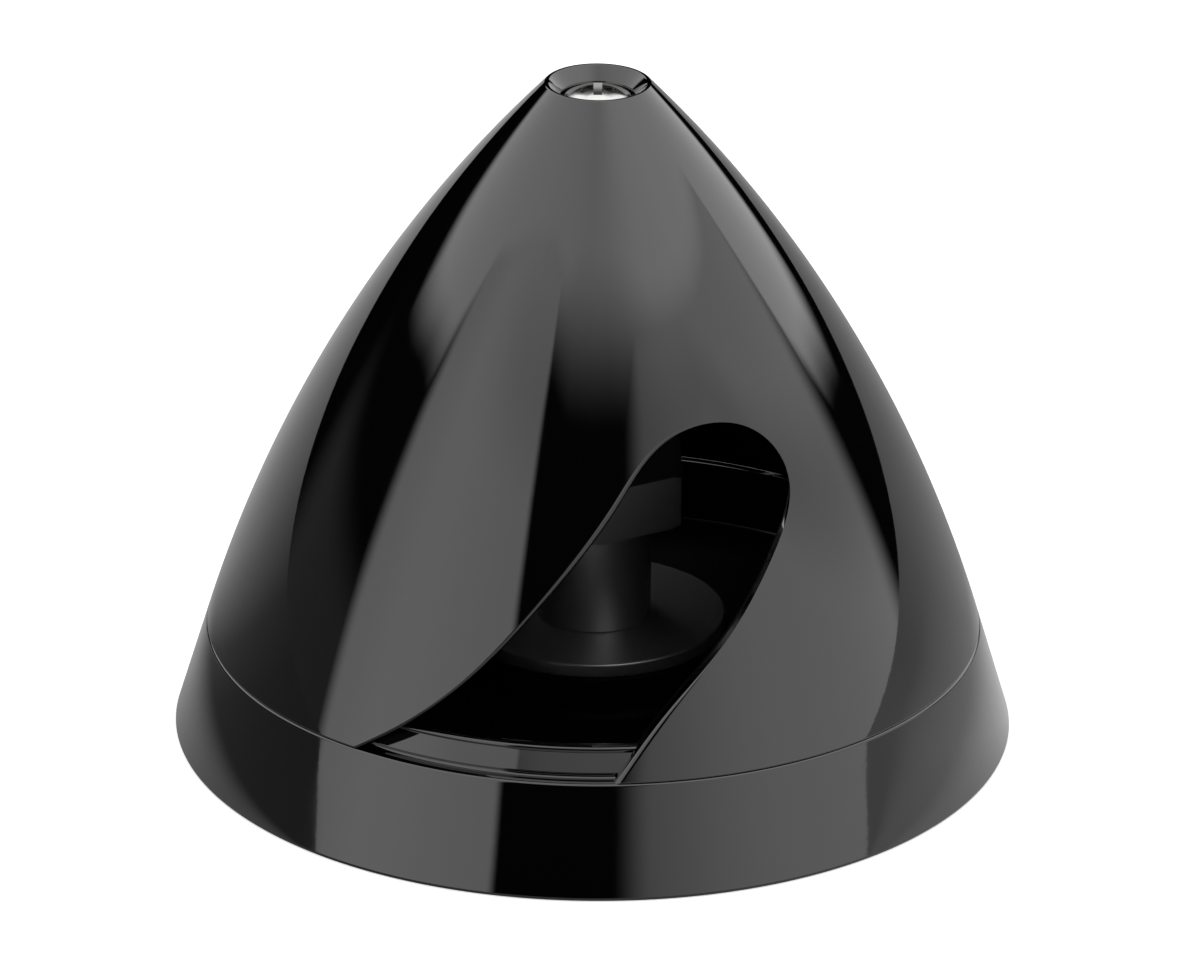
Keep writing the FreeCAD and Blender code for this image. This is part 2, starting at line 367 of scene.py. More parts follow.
def shade(piece, sharp_angle=30):
    """Smooth shading that keeps sharp edges and leaves the large flats flat between their rounded edges."""
    make_active(piece)
    bpy.ops.object.shade_smooth_by_angle(angle=math.radians(sharp_angle))
    flats = piece.modifiers.new("flats", "WEIGHTED_NORMAL")
    flats.keep_sharp = True
    flats.weight = 100
    apply_modifier(piece, flats)


SKIN_TOLERANCE = 0.006 * MM


def give_true_normals(piece, ogive):
    """Takes the outer skin's shading from an uncut sheet of the same form, without the openings."""
    skin_line = ogive.run(SEAM_HEIGHT - MM, NOSE_HEIGHT + 0.3 * MM, 140)
    sheet = turned("skin", [point[:2] for point in skin_line], closed=False)
    make_active(sheet)
    bpy.ops.object.shade_smooth()
    probe = sheet.data.polygons[0]
    if probe.normal.dot(probe.center) < 0:
        edit_all(sheet)
        bpy.ops.mesh.flip_normals()
        bpy.ops.object.mode_set(mode="OBJECT")
    skin = piece.vertex_groups.new(name="outer skin")
    on_skin = []
    for vertex in piece.data.vertices:
        height = vertex.co.z
        off_skin = abs(math.hypot(vertex.co.x, vertex.co.y) - ogive.radius(height))
        if SEAM_HEIGHT < height < NOSE_HEIGHT and off_skin < SKIN_TOLERANCE:
            on_skin.append(vertex.index)
    skin.add(on_skin, 1.0, "REPLACE")
    modifier = piece.modifiers.new("true normals", "DATA_TRANSFER")
    modifier.object = sheet
    modifier.use_loop_data = True
    modifier.data_types_loops = {"CUSTOM_NORMAL"}
    modifier.loop_mapping = "POLYINTERP_NEAREST"
    modifier.vertex_group = skin.name
    apply_modifier(piece, modifier)
    piece.vertex_groups.clear()
    bpy.data.objects.remove(sheet, do_unlink=True)


def dress(piece, material, node):
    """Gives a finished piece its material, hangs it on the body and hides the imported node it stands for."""
    piece.data.materials.clear()
    piece.data.materials.append(material)
    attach(piece, BODY)
    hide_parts(node)


def spread(tree, kind, **settings):
    node = tree.nodes.new(kind)
    for name, value in settings.items():
        setattr(node, name, value)
    return node


def calculate(tree, operation, first, second=None, third=None):
    node = spread(tree, "ShaderNodeMath", operation=operation)
    for socket, value in zip(node.inputs, (first, second, third)):
        if value is None:
            continue
        if isinstance(value, (int, float)):
            socket.default_value = value
        else:
            tree.links.new(value, socket)
    return node.outputs[0]


def ramp_between(tree, value, low, high, from_value=0.0, to_value=1.0, smooth=True):
    node = spread(tree, "ShaderNodeMapRange", interpolation_type="SMOOTHSTEP" if smooth else "LINEAR")
    tree.links.new(value, node.inputs["Value"])
    for name, number in (("From Min", low), ("From Max", high), ("To Min", from_value), ("To Max", to_value)):
        if isinstance(number, (int, float)):
            node.inputs[name].default_value = number
        else:
            tree.links.new(number, node.inputs[name])
    return node.outputs["Result"]


def fade_in(tree, value, low, high):
    return ramp_between(tree, value, low, high)


def fade_out(tree, value, low, high):
    return ramp_between(tree, value, low, high, 1, 0)


def all_but(tree, share):
    return calculate(tree, "SUBTRACT", 1.0, share)


def noise(tree, coordinates, grain, detail=2.0, roughness=0.5):
    """Noise whose features are about `grain` metres across."""
    node = spread(tree, "ShaderNodeTexNoise")
    tree.links.new(coordinates, node.inputs["Vector"])
    node.inputs["Scale"].default_value = 1 / grain
    node.inputs["Detail"].default_value = detail
    node.inputs["Roughness"].default_value = roughness
    return node.outputs["Fac"]


def blend_colour(tree, share, first, second, onto):
    """Feeds a socket with the first colour where the share is 0 and the second where it is 1."""
    node = spread(tree, "ShaderNodeMix", data_type="RGBA")
    tree.links.new(share, node.inputs["Factor"])
    node.inputs[6].default_value = (*first, 1)
    node.inputs[7].default_value = (*second, 1)
    tree.links.new(node.outputs[2], onto)


def new_material(name):
    material = bpy.data.materials.new(name)
    material.use_nodes = True
    tree = material.node_tree
    shader = tree.nodes["Principled BSDF"]
    coordinates = tree.nodes.new("ShaderNodeTexCoord").outputs["Object"]
    return material, tree, shader, coordinates


def bump(tree, shader, height, distance, strength=1.0, after=None):
    node = spread(tree, "ShaderNodeBump")
    node.inputs["Strength"].default_value = strength
    node.inputs["Distance"].default_value = distance
    tree.links.new(height, node.inputs["Height"])
    if after:
        tree.links.new(after, node.inputs["Normal"])
    tree.links.new(node.outputs["Normal"], shader.inputs["Normal"])
    return node.outputs["Normal"]


PLASTIC_IOR = 1.58


def height_and_radius(tree, coordinates):
    """The height above the rear rim and the distance from the shaft's axis."""
    split = tree.nodes.new("ShaderNodeSeparateXYZ")
    tree.links.new(coordinates, split.inputs[0])
    squares = calculate(tree, "ADD", product(tree, split.outputs["X"], split.outputs["X"]),
                        product(tree, split.outputs["Y"], split.outputs["Y"]))
    return split.outputs["Z"], calculate(tree, "SQRT", squares)


def polished_plastic(finishes):
    """Deep black moulded plastic: polished outside, with a moulded wall's faint waviness, and dull inside."""
    material, tree, shader, coordinates = new_material("polished_black_plastic")
    shader.inputs["Base Color"].default_value = (*finishes.plastic, 1)
    shader.inputs["IOR"].default_value = PLASTIC_IOR
    shader.inputs["Coat IOR"].default_value = PLASTIC_IOR
    plain = inside(tree, coordinates)
    tree.links.new(all_but(tree, plain), shader.inputs["Coat Weight"])
    tree.links.new(calculate(tree, "MULTIPLY_ADD", plain, -0.46, 0.5), shader.inputs["Specular IOR Level"])
    haze = ramp_between(tree, noise(tree, coordinates, 9 * MM, detail=3), 0.3, 0.8, 0.02, 0.06)
    tree.links.new(calculate(tree, "MULTIPLY_ADD", plain, 0.5, haze), shader.inputs["Roughness"])
    shader.inputs["Coat Roughness"].default_value = 0.02
    waves = noise(tree, coordinates, 14 * MM, detail=1)
    wavy = bump(tree, shader, waves, 0.03 * MM)
    grain = noise(tree, coordinates, 0.5 * MM, detail=2)
    smooth = bump(tree, shader, grain, 0.0004 * MM, after=wavy)
    tree.links.new(smooth, shader.inputs["Coat Normal"])
    return material


def inside(tree, coordinates):
    """1 on the moulding's inner faces, which the mould leaves dull, and 0 outside and in the nose dish."""
    ogive = Ogive(bpy.context.scene.spinner_mouldings)
    height, across = height_and_radius(tree, coordinates)
    rise = calculate(tree, "SUBTRACT", height, ogive.centre.y)
    square = calculate(tree, "SUBTRACT", ogive.reach**2, product(tree, rise, rise))
    skin = calculate(tree, "ADD", calculate(tree, "SQRT", square), ogive.centre.x)
    depth = calculate(tree, "SUBTRACT", skin, across)
    in_cone = product(tree, fade_in(tree, depth, 1.0 * MM, 1.5 * MM),
                      fade_in(tree, height, SPIGOT_TOP + 0.2 * MM, SPIGOT_TOP + 0.6 * MM),
                      fade_out(tree, height, 50 * MM, 52 * MM))
    in_plate = product(tree, fade_in(tree, depth, 2.9 * MM, 3.2 * MM),
                       fade_out(tree, height, SPIGOT_TOP - 0.3 * MM, SPIGOT_TOP - 0.1 * MM))
    return calculate(tree, "MAXIMUM", in_cone, in_plate)


def rings_about_axis(tree, coordinates, grain):
    """Fine rings round the shaft's axis, as turning leaves them."""
    across = height_and_radius(tree, coordinates)[1]
    line = spread(tree, "ShaderNodeCombineXYZ")
    tree.links.new(across, line.inputs[0])
    return noise(tree, line.outputs[0], grain, detail=3, roughness=0.6)


def turned_steel(finishes):
    """Plain steel with turning marks, faintly clouded."""
    material, tree, shader, coordinates = new_material("turned_steel")
    shader.inputs["Metallic"].default_value = 1.0
    cloud = noise(tree, coordinates, 2.2 * MM, detail=4)
    dull, bright = [c * 0.8 for c in finishes.steel], [c * 1.25 for c in finishes.steel]
    blend_colour(tree, cloud, dull, bright, shader.inputs["Base Color"])
    tree.links.new(ramp_between(tree, cloud, 0.3, 0.7, 0.07, 0.13), shader.inputs["Roughness"])
    bump(tree, shader, rings_about_axis(tree, coordinates, 0.12 * MM), 0.0015 * MM)
    return material


def bright_plating(finishes):
    """Bright plating, with painted shade that darkens the bottom of the cross recess."""
    material, tree, shader, coordinates = new_material("bright_plating")
    shader.inputs["Metallic"].default_value = 1.0
    height, across = height_and_radius(tree, coordinates)
    # Painted shade: the plating's colour falls to 12 per cent low in the cross recess.
    deep = product(tree, fade_out(tree, height, SCREW_CROWN - 0.9 * MM, SCREW_CROWN - 0.3 * MM),
                   fade_in(tree, height, SCREW_CROWN - 1.6 * MM, SCREW_CROWN - 1.5 * MM),
                   fade_out(tree, across, 1.6 * MM, 1.7 * MM))
    blend_colour(tree, deep, finishes.screw, [c * 0.12 for c in finishes.screw], shader.inputs["Base Color"])
    cloud = noise(tree, coordinates, 0.8 * MM, detail=3)
    tree.links.new(ramp_between(tree, cloud, 0.3, 0.7, 0.12, 0.24), shader.inputs["Roughness"])
    bump(tree, shader, rings_about_axis(tree, coordinates, 0.1 * MM), 0.003 * MM)
    return material


def natural_nylon(finishes):
    """Off-white nylon that lets a little light in."""
    material, tree, shader, coordinates = new_material("natural_nylon")
    cloud = noise(tree, coordinates, 3 * MM, detail=3)
    blend_colour(tree, cloud, [c * 0.94 for c in finishes.nylon], finishes.nylon, shader.inputs["Base Color"])
    shader.inputs["Roughness"].default_value = 0.42
    shader.inputs["Subsurface Weight"].default_value = 0.3
    shader.inputs["Subsurface Scale"].default_value = 1 * MM
    bump(tree, shader, noise(tree, coordinates, 0.25 * MM), 0.004 * MM)
    return material


def shared_material(name, maker):
    return bpy.data.materials.get(name) or maker(bpy.context.scene.spinner_finishes)


class SPINNER_OT_cone(Operator):
    """Make the moulded cone with its dished nose, screw boss, lip and two blade openings"""
    bl_idname = "spinner.cone"
    bl_label = "Cone"

    def execute(self, context):
        sizes = context.scene.spinner_mouldings
        ogive = Ogive(sizes)
        seat = NOSE_HEIGHT - sizes.head_seat
        ceiling = seat - sizes.seat_thickness
        boss_end = ceiling - sizes.boss_length
        lip_top = SEAM_HEIGHT + sizes.lip_depth
        corners = [(ogive.seam_radius, SEAM_HEIGHT, sizes.seam_round)]
        corners += ogive.run(SEAM_HEIGHT, NOSE_HEIGHT, 110)[1:-1]
        corners += [
            (ogive.nose_radius, NOSE_HEIGHT, 0.26 * MM),
            (sizes.dish_radius, NOSE_HEIGHT, 0.26 * MM),
            (sizes.counterbore_radius, NOSE_HEIGHT - sizes.dish_depth, 0.3 * MM),
            (sizes.counterbore_radius, seat, 0.1 * MM),
            (sizes.screw_hole_radius, seat, 0),
            (sizes.screw_hole_radius, boss_end, 0.3 * MM),
            (sizes.boss_radius, boss_end, 0.3 * MM),
            (sizes.boss_radius, ceiling, 0.8 * MM),
        ]
        corners += ogive.run(lip_top, ceiling, 40, sizes.cone_wall)[::-1]
        corners += ogive.run(SEAM_HEIGHT, lip_top, 4, sizes.lip_thickness)[::-1]
        cone = turned("cone_moulding", rounded(corners))
        tool = opening_tool(ogive, sizes.opening_round)
        carve(cone, tool)
        tool = opening_tool(ogive, sizes.opening_round)
        tool.data.transform(Matrix.Rotation(math.pi, 4, "Z"))
        carve(cone, tool)
        close_and_face_outward(cone)
        shade(cone)
        give_true_normals(cone, ogive)
        material = shared_material("polished_black_plastic", polished_plastic)
        dress(cone, material, "spinner_cone")
        return {"FINISHED"}


class SPINNER_OT_backplate(Operator):
    """Make the moulded backplate with its rim band, ledge, spigot, web, hub and ribs"""
    bl_idname = "spinner.backplate"
    bl_label = "Backplate"

    def execute(self, context):
        sizes = context.scene.spinner_mouldings
        ogive = Ogive(sizes)
        spigot_root = ogive.seam_radius - sizes.ledge_width
        spigot_edge = spigot_root - sizes.spigot_bevel
        bevel_low = SEAM_HEIGHT + sizes.spigot_step
        bevel_high = SPIGOT_TOP - sizes.spigot_step
        spigot_inner = spigot_edge - sizes.spigot_width
        web_front = sizes.web_rear + sizes.web_thickness
        spigot_foot = spigot_inner + (SPIGOT_TOP - web_front) * math.tan(sizes.band_lean)
        corners = [
            (ogive.base_radius, 0, sizes.rim_round),
            (ogive.seam_radius, SEAM_HEIGHT, 0.3 * MM),
            (spigot_root, SEAM_HEIGHT, 0.25 * MM),
            (spigot_root, bevel_low, 0.12 * MM),
            (spigot_edge, bevel_high, 0.1 * MM),
            (spigot_edge, SPIGOT_TOP, 0.28 * MM),
            (spigot_inner, SPIGOT_TOP, 0.12 * MM),
            (spigot_foot, web_front, 0.9 * MM),
            (sizes.hub_radius, web_front, 0.9 * MM),
            (sizes.hub_radius, HUB_FRONT, 0.25 * MM),
            (sizes.hub_bore_radius, HUB_FRONT, 0),
            (sizes.hub_bore_radius, HUB_REAR, 0.1 * MM),
            (sizes.hub_radius, HUB_REAR, 0.25 * MM),
            (sizes.hub_radius, sizes.web_rear, 0.3 * MM),
            (ogive.band_radius(sizes.web_rear, sizes.band_wall), sizes.web_rear, 0.3 * MM),
            (ogive.band_radius(0, sizes.band_wall), 0, 0.2 * MM),
        ]
        plate = turned("backplate_moulding", rounded(corners))
        self.add_ribs(plate, sizes, ogive)
        shade(plate)
        material = shared_material("polished_black_plastic", polished_plastic)
        dress(plate, material, "backplate")
        return {"FINISHED"}

    def add_ribs(self, plate, sizes, ogive):
        """Eight ribs behind the web, half a rib's pitch away from the X axis."""
        rib_count = 8
        start = sizes.hub_radius - sizes.rib_width
        end = ogive.band_radius(sizes.web_rear, sizes.band_wall / 2)
        top = sizes.web_rear + sizes.web_thickness / 2
        for index in range(rib_count):
            clear_selection()
            bpy.ops.mesh.primitive_cube_add(size=1)
            rib = bpy.context.object
            rib.data.transform(Matrix.Diagonal((end - start, sizes.rib_width, top - sizes.rib_rear, 1)))
            rib.data.transform(Matrix.Translation(((start + end) / 2, 0, (top + sizes.rib_rear) / 2)))
            rounding = rib.modifiers.new("rounding", "BEVEL")
            rounding.width = 0.15 * MM
            rounding.segments = 2
            apply_modifier(rib, rounding)
            rib.data.transform(Matrix.Rotation(math.tau * (index + 0.5) / rib_count, 4, "Z"))
            carve(plate, rib, "UNION")


class SPINNER_OT_hub_fittings(Operator):
    """Make the bushing in the hub's bore and the washer in front of the hub"""
    bl_idname = "spinner.hub_fittings"
    bl_label = "Bushing and washer"

    def execute(self, context):
        hole = context.scene.spinner_hardware.shaft_hole_radius
        bushing = turned("bushing_sleeve", rounded([
            (hole, HUB_REAR, 0.3 * MM),
            (BUSHING_RADIUS, HUB_REAR, 0.3 * MM),
            (BUSHING_RADIUS, HUB_FRONT - SLIDING_GAP, 0.3 * MM),
            (hole, HUB_FRONT - SLIDING_GAP, 0.3 * MM),
        ]), FINE_STEPS)
        shade(bushing)
        dress(bushing, shared_material("natural_nylon", natural_nylon), "shaft_bushing")
        washer = turned("washer_disc", rounded([
            (hole, HUB_FRONT, 0.08 * MM),
            (WASHER_RADIUS, HUB_FRONT, 0.15 * MM),
            (WASHER_RADIUS, WASHER_TOP, 0.2 * MM),
            (hole, WASHER_TOP, 0.08 * MM),
        ]), FINE_STEPS * 2)
        shade(washer)
        dress(washer, shared_material("turned_steel", turned_steel), "prop_washer")
        return {"FINISHED"}


class SPINNER_OT_adapter_nut(Operator):
    """Make the hexagonal nut with its collar, shaft hole and screw hole"""
    bl_idname = "spinner.adapter_nut"
    bl_label = "Adapter nut"

    def execute(self, context):
        sizes = context.scene.spinner_hardware
        corner = NUT_FLATS / 2 / math.cos(math.pi / 6)
        clear_selection()
        bpy.ops.mesh.primitive_cylinder_add(vertices=6, radius=corner, depth=NUT_TOP - WASHER_TOP)
        nut = bpy.context.object
        nut.name = "hexagon_nut"
        nut.data.transform(Matrix.Translation((0, 0, (NUT_TOP + WASHER_TOP) / 2)))
        bpy.ops.object.mode_set(mode="EDIT")
        bpy.ops.mesh.select_all(action="DESELECT")
        mesh = bmesh.from_edit_mesh(nut.data)
        for edge in mesh.edges:
            edge.select_set(abs(edge.verts[0].co.z - edge.verts[1].co.z) > MM)
        bmesh.update_edit_mesh(nut.data)
        reach = sizes.corner_round * math.tan(math.pi / 6)
        bpy.ops.mesh.bevel(offset=reach, segments=4, affect="EDGES")
        bpy.ops.object.mode_set(mode="OBJECT")
        collar_top = WASHER_TOP + sizes.collar_height
        chamfer = 0.35 * MM
        drop = chamfer * math.tan(math.pi / 6)
        wide = corner - chamfer
        envelope = turned("envelope", rounded([
            (0, WASHER_TOP, 0),
            (sizes.collar_radius, WASHER_TOP, 0.15 * MM),
            (sizes.collar_radius, collar_top, 0.1 * MM),
            (wide, collar_top, 0),
            (corner, collar_top + drop, 0),
            (corner, NUT_TOP - drop, 0),
            (wide, NUT_TOP, 0.1 * MM),
            (0, NUT_TOP, 0),
        ]), FINE_STEPS)
        carve(nut, envelope, "INTERSECT")
        thread_top = WASHER_TOP + sizes.shaft_thread_depth
        screw_hole = sizes.screw_radius + SLIDING_GAP
        bore = turned("bore", rounded([
            (0, WASHER_TOP - MM, 0),
            (sizes.shaft_thread_radius + 1.5 * MM, WASHER_TOP - MM, 0),
            (sizes.shaft_thread_radius, WASHER_TOP + 0.5 * MM, 0),
            (sizes.shaft_thread_radius, thread_top, 0),
            (screw_hole, thread_top + 0.5 * MM, 0),
            (screw_hole, NUT_TOP - 0.3 * MM, 0),
            (screw_hole + 0.5 * MM, NUT_TOP + 0.2 * MM, 0),
            (0, NUT_TOP + 0.2 * MM, 0),
        ]), FINE_STEPS)
        carve(nut, bore)
        close_and_face_outward(nut)
        shade(nut)
        dress(nut, shared_material("turned_steel", turned_steel), "adapter_nut")
        return {"FINISHED"}


class SPINNER_OT_nose_screw(Operator):
    """Make the long cross-recessed screw with its domed head"""
    bl_idname = "spinner.nose_screw"
    bl_label = "Nose screw"

    def execute(self, context):
        sizes = context.scene.spinner_hardware
        seat = NOSE_HEIGHT - context.scene.spinner_mouldings.head_seat
        side_top = seat + sizes.head_side
        crown_centre = SCREW_CROWN - sizes.crown_radius
        corners = [(0, SCREW_TIP, 0), (sizes.screw_radius, SCREW_TIP, 0.3 * MM)]
        corners += [(sizes.screw_radius, seat, 0.15 * MM), (HEAD_RADIUS, seat, 0.1 * MM)]
        corners += [(HEAD_RADIUS, side_top, 0.25 * MM)]
        dome_steps = 8
        for step in range(1, dome_steps + 1):
            radius = HEAD_RADIUS * (1 - step / dome_steps)
            corners.append((radius, crown_centre + math.sqrt(sizes.crown_radius**2 - radius**2), 0))
        screw = turned("recessed_screw", rounded(corners), FINE_STEPS)
        for quarter in range(2):
            carve(screw, self.recess_slot(sizes, quarter))
        close_and_face_outward(screw)
        shade(screw)
        dress(screw, shared_material("bright_plating", bright_plating), "nose_screw")
        return {"FINISHED"}

    def recess_slot(self, sizes, quarter):
        """One slot of the cross recess, which narrows towards its floor."""
        clear_selection()
        bpy.ops.mesh.primitive_cube_add(size=1)
        slot = bpy.context.object
        over = 0.3 * MM
        slant = (sizes.recess_span - sizes.recess_floor) / sizes.recess_depth
        for vertex in slot.data.vertices:
            top = vertex.co.z > 0
            span = sizes.recess_span + slant * over if top else sizes.recess_floor
            height = SCREW_CROWN + over if top else SCREW_CROWN - sizes.recess_depth
            vertex.co = (math.copysign(span / 2, vertex.co.x), vertex.co.y * sizes.recess_width, height)
        slot.data.transform(Matrix.Rotation(math.pi / 2 * quarter, 4, "Z"))
        return slot


# Glow that shows the floor white to the camera
CAMERA_GLOW = 0.6

# Studio light by azimuth from the camera's side, in degrees, with elevations or with shares of white
CEILING_EDGE = (
    (-180, 50), (-160, 50), (-152, 17), (-135, 19), (-115, 18.3), (-105, 21.5), (-95, 25), (-86, 27),
    (-80, 35), (-40, 46), (-10, 46), (8, 46), (20, 45), (106, 30), (109, 22), (112, 15), (116, 11.5),
    (122, 9.5), (130, 6.2), (140, 5), (152, 10), (160, 50), (180, 50),
)
CEILING_SOFTNESS = (
    (-180, 2.5), (-90, 3), (-60, 8), (-24, 6), (-14, 8.5), (15, 8.5), (40, 7), (100, 5), (112, 2.5), (180, 3),
)
CEILING_LIGHT = (
    (-180, 1.12), (-100, 1.17), (-60, 1.14), (-25, 1.06), (-5, 0.99), (10, 1.05), (40, 1.32), (70, 1.4),
    (100, 1.33), (125, 1.2), (180, 1.1),
)
LEFT_WALL_LIGHT = (
    (-180, 0.8), (-90, 0.8), (-76, 0.92), (-65, 1.05), (-55, 1.05), (-45, 1.0), (-30, 0.93), (180, 0.9),
)
RIGHT_WALL_LIGHT = (
    (-180, 0.5), (5, 0.5), (15, 0.55), (25, 0.66), (35, 0.78), (45, 0.87), (55, 0.92), (80, 0.93), (95, 0.92),
    (110, 0.88), (180, 0.88),
)
# Height of the shaded joint between the right wall and the ceiling
RIGHT_JOINT = (
    (-180, 38), (10, 38), (35, 35), (55, 34), (65, 29), (75, 22), (85, 17.5), (95, 13.5), (105, 10.5),
    (112, 9), (180, 9),
)
# Painted shade of the floor as the polished plastic mirrors it: how pale it looks in reflections only, by
# azimuth round the shaft
MIRRORED_FLOOR_SHADE = (
    (-180, 0.5), (-160, 0.44), (-145, 0.4), (-130, 0.33), (-121, 0.23), (-112, 0.11), (-100, 0.08),
    (-90, 0.08), (-50, 0.10), (-20, 0.3), (30, 0.55), (60, 0.6), (90, 0.57), (105, 0.43), (120, 0.33),
    (140, 0.28), (155, 0.28), (180, 0.38),
)


def follow(tree, azimuth, points, top):
    """A value from 0 to `top` that follows straight lines between (azimuth, value) points."""
    node = tree.nodes.new("ShaderNodeFloatCurve")
    line = node.mapping.curves[0]
    places = [((turn + 180) / 360, value / top) for turn, value in points]
    line.points[0].location = places[0]
    line.points[1].location = places[-1]
    for place in places[1:-1]:
        line.points.new(*place)
    for point in line.points:
        point.handle_type = "VECTOR"
    node.mapping.update()
    tree.links.new(ramp_between(tree, azimuth, -180, 180, smooth=False), node.inputs["Value"])
    return calculate(tree, "MULTIPLY", node.outputs[0], top)


def azimuth_of(tree, split):
    """Degrees round the shaft from the camera's side, positive to the right."""
    to_front = calculate(tree, "MULTIPLY", split.outputs["Y"], -1.0)
    return calculate(tree, "DEGREES", calculate(tree, "ARCTAN2", split.outputs["X"], to_front))


def hump(tree, value, centre, width):
    """1 where the value meets the centre, fading to 0 over the width on both sides."""
    away = calculate(tree, "ABSOLUTE", calculate(tree, "SUBTRACT", value, centre))
    return ramp_between(tree, away, 0, width, 1, 0)


def product(tree, *factors):
    result = factors[0]
    for factor in factors[1:]:
        result = calculate(tree, "MULTIPLY", result, factor)
    return result


class SPINNER_OT_studio(Operator):
    """Set up the pale floor, the soft studio light and the camera"""
    bl_idname = "spinner.studio"
    bl_label = "Studio"

    def execute(self, context):
        studio = context.scene.spinner_studio
        self.set_camera(context, studio)
        self.lay_floor(studio)
        self.light_room(context)
        context.scene.view_settings.view_transform = "Standard"
        return {"FINISHED"}

    def set_camera(self, context, studio):
        """Puts the camera where the base's centre falls at its place in a frame of 1200 by 960 pixels."""
        image_width = 1200
        focal_pixels = 8341.4
        centre_right, centre_down = 592.49 - 600, 715.85 - 480
        sight = -studio.camera_elevation
        place = studio.camera_distance * Vector((0, -math.cos(sight), -math.sin(sight)))
        forward = -place.normalized()
        right = Vector((1, 0, 0))
        down = forward.cross(right)
        looking = Matrix((right, down, forward))
        rolled = Matrix.Rotation(studio.camera_roll, 3, "Z") @ looking
        ray = Vector((centre_right, centre_down, focal_pixels)).normalized()
        aimed = Vector((0, 0, 1)).rotation_difference(ray).to_matrix() @ rolled
        axes = Matrix((aimed[0], -aimed[1], -aimed[2])).transposed()
        bpy.ops.object.camera_add()
        camera = context.object
        camera.matrix_world = Matrix.LocRotScale(place, axes.to_quaternion(), None)
        camera.data.sensor_width = 36
        camera.data.sensor_fit = "HORIZONTAL"
        camera.data.lens = focal_pixels / image_width * camera.data.sensor_width
        camera.data.clip_start = 10 * MM
        camera.data.clip_end = 50
        context.scene.camera = camera

    def lay_floor(self, studio):
        """A floor just below the rear rim, so that the two faces don't coincide."""
        clear_of_rim = 0.02 * MM
        clear_selection()
        bpy.ops.mesh.primitive_plane_add(size=12, location=(0, 0, -clear_of_rim))
        floor = bpy.context.object
        floor.name = "floor"
        floor.data.materials.append(self.pale_floor(studio))

    def pale_floor(self, studio):
        """White to the camera, apart from the painted shadow; the plastic mirrors it with painted shade
        towards the left.
        """
        material, tree, shader, coordinates = new_material("pale_floor")
        shader.inputs["Roughness"].default_value = 0.9
        shader.inputs["Specular IOR Level"].default_value = 0.0
        shader.inputs["Emission Color"].default_value = (1, 1, 1, 1)
        split = tree.nodes.new("ShaderNodeSeparateXYZ")
        tree.links.new(coordinates, split.inputs[0])
        azimuth = azimuth_of(tree, split)
        distance = spread(tree, "ShaderNodeVectorMath", operation="LENGTH")
        tree.links.new(coordinates, distance.inputs[0])
        away = distance.outputs["Value"]
        # Glossy rays see a painted floor: painted shade by azimuth and far to the right, and painted light
        # near the rim at left and right.
        mirrored_shade = follow(tree, azimuth, MIRRORED_FLOOR_SHADE, 1.0)
        far_right = product(tree, fade_in(tree, away, 70 * MM, 250 * MM),
                            fade_in(tree, azimuth, 30, 60), fade_out(tree, azimuth, 100, 130), 0.3)
        near_left = product(tree, fade_out(tree, away, 36 * MM, 56 * MM),
                            fade_out(tree, azimuth, -60, -30), fade_in(tree, azimuth, -140, -110), 0.35)
        near_right = product(tree, fade_out(tree, away, 36 * MM, 60 * MM),
                             fade_in(tree, azimuth, 30, 60), fade_out(tree, azimuth, 110, 150), 0.25)
        near = calculate(tree, "ADD", near_left, near_right)
        mirrored = calculate(tree, "ADD", product(tree, mirrored_shade, all_but(tree, far_right)), near)
        rays = tree.nodes.new("ShaderNodeLightPath")
        mix = spread(tree, "ShaderNodeMix", data_type="RGBA")
        tree.links.new(rays.outputs["Is Glossy Ray"], mix.inputs["Factor"])
        dark = self.shadow_behind(tree, split)
        pale = spread(tree, "ShaderNodeVectorMath", operation="SCALE")
        pale.inputs[0].default_value = tuple(studio.floor)
        tree.links.new(all_but(tree, dark), pale.inputs["Scale"])
        tree.links.new(pale.outputs[0], mix.inputs[6])
        tree.links.new(mirrored, mix.inputs[7])
        tree.links.new(mix.outputs[2], shader.inputs["Base Color"])
        glow = product(tree, rays.outputs["Is Camera Ray"], all_but(tree, dark), CAMERA_GLOW)
        tree.links.new(glow, shader.inputs["Emission Strength"])
        return material

    def shadow_behind(self, tree, split):
        """A soft shadow painted behind the object, which narrows backwards and shows through the openings."""
        start, tip, tip_aside = 20 * MM, 57.4 * MM, 10.6 * MM
        start_width, tip_width, tip_length = 18 * MM, 6.6 * MM, 6.8 * MM
        back = ramp_between(tree, split.outputs["Y"], start, tip, smooth=False)
        middle = calculate(tree, "MULTIPLY", back, tip_aside)
        half_width = calculate(tree, "MULTIPLY_ADD", back, tip_width - start_width, start_width)
        aside = calculate(tree, "DIVIDE", calculate(tree, "SUBTRACT", split.outputs["X"], middle), half_width)
        past_tip = calculate(tree, "MAXIMUM", calculate(tree, "SUBTRACT", split.outputs["Y"], tip), 0.0)
        beyond = calculate(tree, "DIVIDE", past_tip, tip_length)
        squares = calculate(tree, "ADD", product(tree, aside, aside), product(tree, beyond, beyond))
        return product(tree, fade_out(tree, calculate(tree, "SQRT", squares), 1.05, 1.7),
                       fade_in(tree, split.outputs["Y"], 4 * MM, start))

    def light_room(self, context):
        """White walls left and right and a white ceiling, with dark gaps at the camera and behind."""
        world = bpy.data.worlds.new("studio_light")
        context.scene.world = world
        world.use_nodes = True
        tree = world.node_tree
        direction = tree.nodes.new("ShaderNodeTexCoord").outputs["Generated"]
        split = tree.nodes.new("ShaderNodeSeparateXYZ")
        tree.links.new(direction, split.inputs[0])
        azimuth = azimuth_of(tree, split)
        elevation = calculate(tree, "DEGREES", calculate(tree, "ARCSINE", split.outputs["Z"]))

